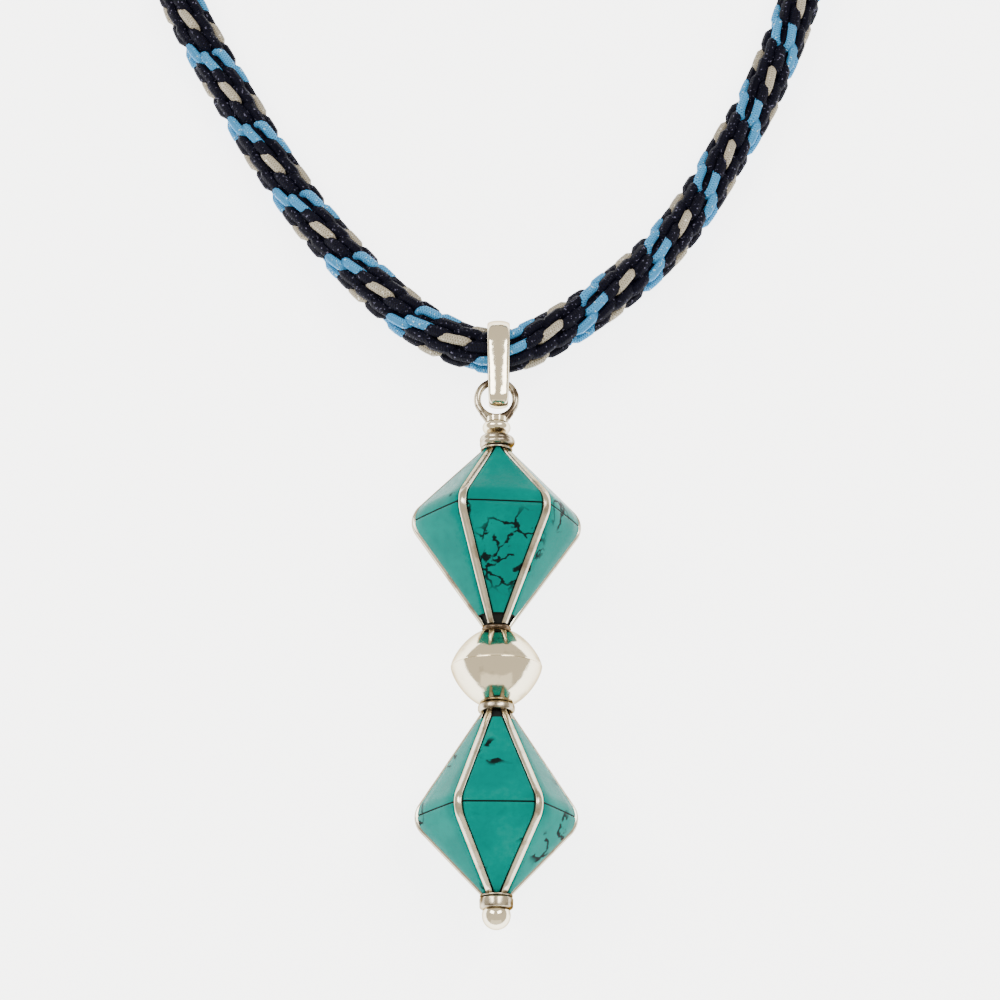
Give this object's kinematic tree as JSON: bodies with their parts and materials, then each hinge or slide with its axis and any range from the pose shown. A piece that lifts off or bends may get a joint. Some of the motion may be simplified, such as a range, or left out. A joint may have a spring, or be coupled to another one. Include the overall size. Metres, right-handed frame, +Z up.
{
  "type": "turning wheel pendant",
  "caption": "Inlaid silver pendant with two six-sided turning wheels and a hollow waist bead on a pin, hung by a bail on a braided neck cord.",
  "frame": {"origin": "on the surface the pendant lies on, under the middle of the pendant between bail and finial", "axes": "+Y along the pendant's axis toward the bail, +Z up from the surface, +X across"},
  "size_m": [0.0754, 0.167, 0.0159],
  "materials": {
    "braided_cord": "round eight-strand braid, navy with light blue and cream",
    "silver": "hand-polished silver with fine scratches",
    "turquoise": "polished turquoise stone with black matrix",
    "resin": "dark cast resin",
    "brass_bush": "drawn tube"
  },
  "bodies": {
    "cord": {"neck_cord": "braided_cord", "cord_coil": "braided_cord", "eye_tail": "braided_cord", "hook_tail": "braided_cord", "eye_cap": "silver", "hook_cap": "silver"},
    "bail": {"bail": "silver"},
    "shaft": {"head_pin": "silver", "neck_ball": "silver", "neck_wrap": "silver", "finial_cup": "silver", "finial_ball": "silver"},
    "upper_wheel": {"upper_core": "resin", "upper_bush": "brass_bush", "upper_top_collar": "silver", "upper_bottom_collar": "silver", "upper_rib_1": "silver", "upper_rib_2": "silver", "upper_rib_3": "silver", "upper_rib_4": "silver", "upper_rib_5": "silver", "upper_rib_6": "silver", "upper_top_stone_1": "turquoise", "upper_top_stone_2": "turquoise", "upper_top_stone_3": "turquoise", "upper_top_stone_4": "turquoise", "upper_top_stone_5": "turquoise", "upper_top_stone_6": "turquoise", "upper_bottom_stone_1": "turquoise", "upper_bottom_stone_2": "turquoise", "upper_bottom_stone_3": "turquoise", "upper_bottom_stone_4": "turquoise", "upper_bottom_stone_5": "turquoise", "upper_bottom_stone_6": "turquoise"},
    "waist_bead": {"waist_upper_dome": "silver", "waist_lower_dome": "silver"},
    "lower_wheel": {"lower_core": "resin", "lower_bush": "brass_bush", "lower_top_collar": "silver", "lower_bottom_collar": "silver", "lower_rib_1": "silver", "lower_rib_2": "silver", "lower_rib_3": "silver", "lower_rib_4": "silver", "lower_rib_5": "silver", "lower_rib_6": "silver", "lower_top_stone_1": "turquoise", "lower_top_stone_2": "turquoise", "lower_top_stone_3": "turquoise", "lower_top_stone_4": "turquoise", "lower_top_stone_5": "turquoise", "lower_top_stone_6": "turquoise", "lower_bottom_stone_1": "turquoise", "lower_bottom_stone_2": "turquoise", "lower_bottom_stone_3": "turquoise", "lower_bottom_stone_4": "turquoise", "lower_bottom_stone_5": "turquoise", "lower_bottom_stone_6": "turquoise"}
  },
  "joints": [
    {"name": "bail_swing", "type": "hinge", "parent": "cord", "child": "bail", "pos_m": [0, 0.02856, 0.0065], "axis": [-1, 0, 0], "range_deg": [0, 90]},
    {"name": "eye_swing", "type": "hinge", "parent": "bail", "child": "shaft", "pos_m": [0, 0.02455, 0.00796], "axis": [-1, 0, 0], "range_deg": [-20, 30]},
    {"name": "upper_wheel_spin", "type": "hinge", "parent": "shaft", "child": "upper_wheel", "pos_m": [0, 0.00912, 0.00796], "axis": [0, 1, 0], "continuous": true},
    {"name": "waist_bead_spin", "type": "hinge", "parent": "shaft", "child": "waist_bead", "pos_m": [0, -0.00562, 0.00796], "axis": [0, 1, 0], "continuous": true},
    {"name": "lower_wheel_spin", "type": "hinge", "parent": "shaft", "child": "lower_wheel", "pos_m": [0, -0.02073, 0.00796], "axis": [0, 1, 0], "continuous": true}
  ]
}
